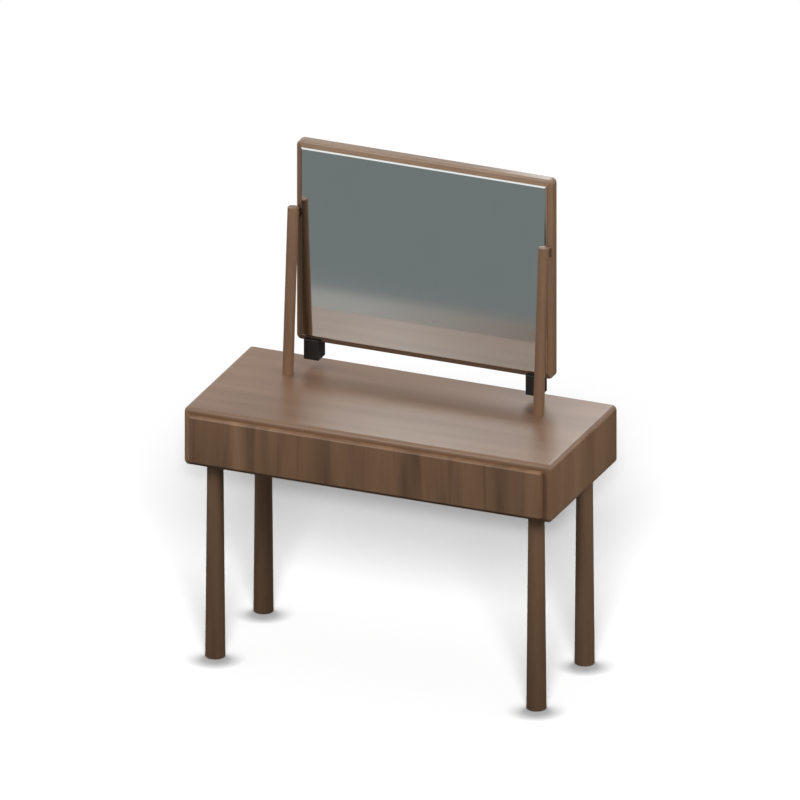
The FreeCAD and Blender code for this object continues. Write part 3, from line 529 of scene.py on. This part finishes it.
def add_leg(node_name, seed):
    """A smooth turned leg with a softened foot and a bore for its bolt."""
    low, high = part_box(node_name)
    middle = (low + high) / 2.0
    foot_radius = (high.x - low.x) / 2.0
    profile = [(0.0, low.z)]
    for step in range(FOOT_STEPS + 1):
        turn = math.radians(QUARTER_TURN * step / FOOT_STEPS)
        radius = foot_radius - FOOT_ROUND + FOOT_ROUND * math.sin(turn)
        profile.append((radius, low.z + FOOT_ROUND - FOOT_ROUND * math.cos(turn)))
    profile += [(LEG_TOP_RADIUS, high.z), (BORE_RADIUS, high.z)]
    profile += [(BORE_RADIUS, high.z - BORE_DEPTH), (0.0, high.z - BORE_DEPTH)]
    vertices, faces = lathed(profile, LEG_SEGMENTS)
    place = Vector((middle.x, middle.y, 0.0))
    vertices = [vertex + place for vertex in vertices]
    wood = walnut(f"walnut_{node_name}", "Z", seed, **LEG_LOOK)
    add_piece(f"turned_{node_name}", vertices, faces, wood, "table", [node_name])


def add_glass():
    """A silvered glass slab with a polished bevel around its front, which throws no patches of light."""
    low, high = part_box("mirror_glass")
    inset = Vector((GLASS_BEVEL, 0.0, GLASS_BEVEL))
    levels = (
        (low + inset, high - inset, low.y),
        (low, high, low.y + GLASS_BEVEL),
        (low, high, high.y),
    )
    vertices = []
    for first, last, depth in levels:
        corners = ((first.x, first.z), (last.x, first.z), (last.x, last.z), (first.x, last.z))
        vertices += [(x, depth, z) for x, z in corners]
    front, rim, back = (range(start, start + 4) for start in (0, 4, 8))
    faces = [list(front), list(reversed(back))]
    for near, far in ((front, rim), (rim, back)):
        for side in range(4):
            after = (side + 1) % 4
            faces.append([near[side], far[side], far[after], near[after]])
    silver = mirror_silver()
    glass = add_piece("bevelled_glass", vertices, faces, silver, "mirror", ["mirror_glass"])
    glass.visible_diffuse = False


def solids_of(node_name):
    """The corner points of each separate solid in a CAD node."""
    mesh, matrix = NODES[node_name].data, NODES[node_name].matrix_world
    places = [matrix @ vertex.co for vertex in mesh.vertices]
    keys = [tuple(round(value, POINT_DIGITS) for value in place) for place in places]
    groups = {key: {key} for key in keys}
    for edge in mesh.edges:
        first, second = (groups[keys[end]] for end in edge.vertices)
        if first is not second:
            first |= second
            for key in second:
                groups[key] = first
    distinct = {id(group): group for group in groups.values()}
    return [[Vector(key) for key in sorted(group)] for group in distinct.values()]


def screw_axis(points):
    """The middle of a screw's head, the way in from there, its length, and the radii of head and stem."""
    low = Vector([min(point[axis] for point in points) for axis in range(3)])
    high = Vector([max(point[axis] for point in points) for axis in range(3)])
    long_axis = max(range(3), key=lambda axis: high[axis] - low[axis])
    middle = (low + high) / 2.0
    along = Vector([1.0 if axis == long_axis else 0.0 for axis in range(3)])

    def radius_near(end):
        near = [point for point in points if abs(point[long_axis] - end) < END_REACH]
        return max((point - middle - along * (point - middle).dot(along)).length for point in near)

    tip, head = sorted((low[long_axis], high[long_axis]), key=radius_near)
    top = middle + along * (head - middle[long_axis])
    inwards = along if tip > head else -along
    return top, inwards, abs(head - tip), radius_near(head), radius_near(tip)


def cross_outline(head_radius):
    """The corners of a screw's cross recess, three to each arm."""
    arm, half = RECESS_ARM * head_radius, RECESS_HALF * head_radius
    corners = [Vector(corner) for corner in ((arm, -half, 0.0), (arm, half, 0.0), (half, half, 0.0))]
    cross = []
    for quarter in range(RECESS_ARMS):
        turn = Matrix.Rotation(math.radians(QUARTER_TURN * quarter), 3, "Z")
        cross += [turn @ corner for corner in corners]
    return cross


def screw_shape(length, head_radius, stem_radius):
    """A pan-head screw with a cross recess: its head ends at the origin and its stem runs down the Z axis."""
    head_depth = HEAD_DEPTH * head_radius
    profile = [(0.0, -length), (TIP_SHARE * stem_radius, -length), (stem_radius, stem_radius - length)]
    profile += [(stem_radius, -head_depth), (head_radius, -head_depth)]
    profile += [(share * head_radius, (rise - 1.0) * head_depth) for share, rise in HEAD_CURVE]
    vertices, faces = lathed(profile, SCREW_SEGMENTS)
    cross = cross_outline(head_radius)
    count, rim = len(cross), len(vertices) - SCREW_SEGMENTS
    upper, lower = len(vertices), len(vertices) + count
    drop = Vector((0.0, 0.0, RECESS_DEPTH * head_depth))
    vertices += cross + [corner - drop for corner in cross]
    stride = SCREW_SEGMENTS // count
    for corner in range(count):
        after = (corner + 1) % count
        outside = [rim + (corner * stride + reach - 1) % SCREW_SEGMENTS for reach in range(stride + 1)]
        faces.append([*outside, upper + after, upper + corner])
        faces.append([upper + corner, upper + after, lower + after, lower + corner])
    for first in range(0, count, ARM_CORNERS):
        arm = range(lower + first, lower + first + ARM_CORNERS)
        faces.append([*arm, lower + (first - 1) % count])
    faces.append(list(range(lower + ARM_CORNERS - 1, lower + count, ARM_CORNERS)))
    return vertices, faces


def add_screws(node_name, body, steel):
    """Pan-head screws in the places of the plain ones in a CAD node."""
    vertices, faces = [], []
    for index, points in enumerate(solids_of(node_name)):
        top, inwards, length, head_radius, stem_radius = screw_axis(points)
        shape, sides = screw_shape(length, PLAIN_SHARE * head_radius, PLAIN_SHARE * stem_radius)
        turn = Matrix.Rotation(math.radians(SCREW_SPIN * index), 3, "Z")
        aim = (-inwards).to_track_quat("Z", "Y").to_matrix() @ turn
        faces += [[len(vertices) + corner for corner in side] for side in sides]
        vertices += [top + aim @ corner for corner in shape]
    add_piece(f"pan_{node_name}", vertices, faces, steel, body, [node_name])


def add_pieces(steel):
    """Put the bevelled glass, the smooth legs and the cross-head screws in place of the plain solids."""
    add_glass()
    for node_name, seed in LEG_SEEDS.items():
        add_leg(node_name, seed)
    for node_name, body in SCREW_BODIES.items():
        add_screws(node_name, body, steel)


def seen_ray(tree):
    """One where a ray comes from the camera, a gloss or a clear surface, and zero for soft light."""
    path = node(tree, "ShaderNodeLightPath")
    seen = path.outputs["Is Camera Ray"]
    for kind in ("Is Glossy Ray", "Is Transmission Ray"):
        seen = node(tree, "ShaderNodeMath", {0: seen, 1: path.outputs[kind]}, operation="MAXIMUM").outputs[0]
    return seen


def add_surround():
    """An even surround that is white where it is seen and gentler as a light."""
    world = bpy.data.worlds.new("surround")
    bpy.context.scene.world = world
    world.use_nodes = True
    tree = world.node_tree
    strength = spread(tree, seen_ray(tree), SURROUND_STRENGTH, SEEN_STRENGTH)
    background = tree.nodes["Background"]
    background.inputs["Color"].default_value = WHITE
    tree.links.new(strength, background.inputs["Strength"])


def add_plane(name, corners):
    """A flat stage piece through its corners."""
    mesh = bpy.data.meshes.new(name)
    mesh.from_pydata(corners, [], [range(len(corners))])
    obj = bpy.data.objects.new(name, mesh)
    bpy.context.scene.collection.objects.link(obj)
    return obj


def rectangle(sides, rise):
    """The four corners of a rectangle, from its left and right and its low and high."""
    (left, right), (low, high) = sides, rise
    return [(left, low), (right, low), (right, high), (left, high)]


def add_floor():
    """A floor that keeps the object's shadow, fades to white where it is seen, and is dark for soft light."""
    sides = (-FLOOR_HALF, FLOOR_HALF)
    floor = add_plane("floor", [(x, y, 0.0) for x, y in rectangle(sides, sides)])
    tree, surface = stage_material(floor, "pale_floor")
    # Painted contact shadow: the floor's colour darkens near the feet, by how little of the sky is open there
    lean = node(tree, "ShaderNodeCombineXYZ", dict(zip("XYZ", toward(*CONTACT_FROM)))).outputs["Vector"]
    nearness = {"Distance": CONTACT_REACH, "Normal": lean}
    openness = node(tree, "ShaderNodeAmbientOcclusion", nearness).outputs["AO"]
    contact = spread(tree, openness, *CONTACT_SHADE, *CONTACT_OPEN)
    pale = node(tree, "ShaderNodeBsdfDiffuse", {"Color": contact})
    white = node(tree, "ShaderNodeEmission", {"Color": WHITE, "Strength": 1.0})
    soft = node(tree, "ShaderNodeBsdfDiffuse", {"Color": (FLOOR_SHADE, FLOOR_SHADE, FLOOR_SHADE, 1.0)})
    place = node(tree, "ShaderNodeTexCoord").outputs["Object"]
    away = node(tree, "ShaderNodeVectorMath", {0: place}, operation="LENGTH").outputs["Value"]
    fade = spread(tree, away, 0.0, 1.0, *FADE, "SMOOTHSTEP")
    seen = node(tree, "ShaderNodeMixShader", {0: fade, 1: pale.outputs[0], 2: white.outputs[0]})
    both = node(tree, "ShaderNodeMixShader", {0: seen_ray(tree), 1: soft.outputs[0], 2: seen.outputs[0]})
    tree.links.new(both.outputs[0], surface)
    return floor


def add_card(name, corners, grey, end=None):
    """A glowing card, a painted reflection that only gloss and the mirror see, in one grey or fading to
    another at its right end.
    """
    card = add_plane(name, corners)
    tree, surface = stage_material(card, name)
    colour = grey
    if end:
        place = node(tree, "ShaderNodeTexCoord").outputs["Object"]
        across = node(tree, "ShaderNodeSeparateXYZ", {0: place}).outputs["X"]
        colour = ramp(tree, spread(tree, across, 0.0, 1.0, *CARD_FADE), (0.0, 1.0), (grey, end))
    glow = node(tree, "ShaderNodeEmission", {"Color": colour, "Strength": 1.0})
    tree.links.new(glow.outputs[0], surface)
    card.visible_camera = False
    card.visible_diffuse = False
    card.visible_shadow = False
    card.visible_transmission = False
    card.visible_volume_scatter = False


def add_cards():
    """Cards that paint reflections: cool grey ones with a brighter strip in front of the object, a dark one
    around it and a dark flag.
    """
    for name, settings in CARDS.items():
        corners = [(x, y, CARD_LIFT) for x, y in rectangle((-CARD_HALF, CARD_HALF), settings["depth"])]
        add_card(name, corners, settings["grey"], settings.get("end"))
    flag = [(x, FLAG_FRONT, z) for x, z in rectangle(FLAG_SIDES, FLAG_RISE)]
    add_card("flag_card", flag, FLAG_REFLECTION_GREY)


def receivers(name, floor, state):
    """A list for lamps that takes the floor in or leaves it out."""
    made = bpy.data.collections.new(name)
    made.objects.link(floor)
    made.collection_objects[0].light_linking.link_state = state
    return made


def add_softbox(name, around, up, distance, size, power):
    """A softbox that looks at the object and isn't seen itself."""
    lamp = bpy.data.lights.new(name, "AREA")
    lamp.shape = "RECTANGLE"
    lamp.size, lamp.size_y = size
    lamp.energy = power
    obj = bpy.data.objects.new(name, lamp)
    away = toward(around, up)
    obj.location = Vector(SOFTBOX_AIM) + distance * away
    obj.rotation_euler = away.to_track_quat("Z", "Y").to_euler()
    obj.visible_camera = False
    bpy.context.scene.collection.objects.link(obj)
    return obj


def add_floor_light(name, around, up, angle, power):
    """A distant light that is so many degrees wide."""
    lamp = bpy.data.lights.new(name, "SUN")
    lamp.energy = power
    lamp.angle = math.radians(angle)
    obj = bpy.data.objects.new(name, lamp)
    obj.rotation_euler = toward(around, up).to_track_quat("Z", "Y").to_euler()
    bpy.context.scene.collection.objects.link(obj)
    return obj


def add_lights(floor):
    """Softboxes for the object, and lights that draw its shadow on the floor alone."""
    object_alone = receivers("object_alone", floor, "EXCLUDE")
    for name, settings in SOFTBOXES.items():
        add_softbox(name, **settings).light_linking.receiver_collection = object_alone
    floor_alone = receivers("floor_alone", floor, "INCLUDE")
    lights = {name: add_floor_light(name, **settings) for name, settings in FLOOR_LIGHTS.items()}
    for light in lights.values():
        light.light_linking.receiver_collection = floor_alone
    case_alone = bpy.data.collections.new("case_alone")
    for name in EDGE_NODES:
        case_alone.objects.link(NODES[name])
    lights["edge_light"].light_linking.blocker_collection = case_alone


def add_camera():
    """The parallel camera at the photographed angle."""
    azimuth = math.radians(VIEW_AZIMUTH)
    back = toward(VIEW_AZIMUTH, VIEW_ELEVATION)
    right = Vector((math.cos(azimuth), math.sin(azimuth), 0.0))
    up = back.cross(right)
    aim = VIEW_SHIFT_RIGHT * right + VIEW_SHIFT_UP * up
    data = bpy.data.cameras.new("camera")
    data.type = "ORTHO"
    data.ortho_scale = VIEW_WIDTH
    camera = bpy.data.objects.new("camera", data)
    camera.location = aim + CAMERA_DISTANCE * back
    camera.rotation_euler = back.to_track_quat("Z", "Y").to_euler()
    bpy.context.scene.collection.objects.link(camera)
    bpy.context.scene.camera = camera


bpy.context.scene.view_settings.view_transform = "Standard"
zinc = zinc_steel()
dress_nodes(zinc)
add_pieces(zinc)
add_surround()
add_cards()
add_lights(add_floor())
add_camera()
